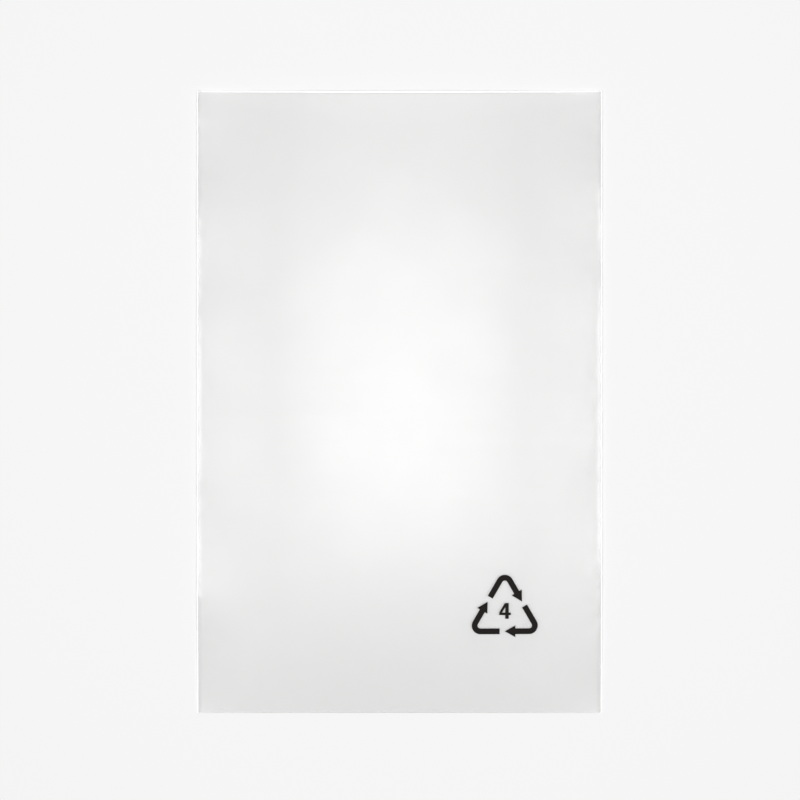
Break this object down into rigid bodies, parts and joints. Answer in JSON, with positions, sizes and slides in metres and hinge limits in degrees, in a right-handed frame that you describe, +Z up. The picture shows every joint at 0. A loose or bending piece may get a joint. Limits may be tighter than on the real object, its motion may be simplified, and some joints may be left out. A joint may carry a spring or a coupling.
{
  "type": "flat poly bag",
  "caption": "Clear flat bag of thin polythene film, folded across the bottom, welded down both sides and open at the top, lying on its back.",
  "frame": {"origin": "under the middle of the bag, on the surface that its back ply lies on", "axes": "+X across the bag, +Y along it from the fold to the open mouth, +Z up through the front ply"},
  "size_m": [0.15, 0.23, 0.0071],
  "materials": {
    "clear_film": "clear, slightly milky film with a soft gloss",
    "printed_ink": "matt near-black printing ink"
  },
  "bodies": {
    "root": {"film_bag": "clear_film"}
  },
  "joints": []
}
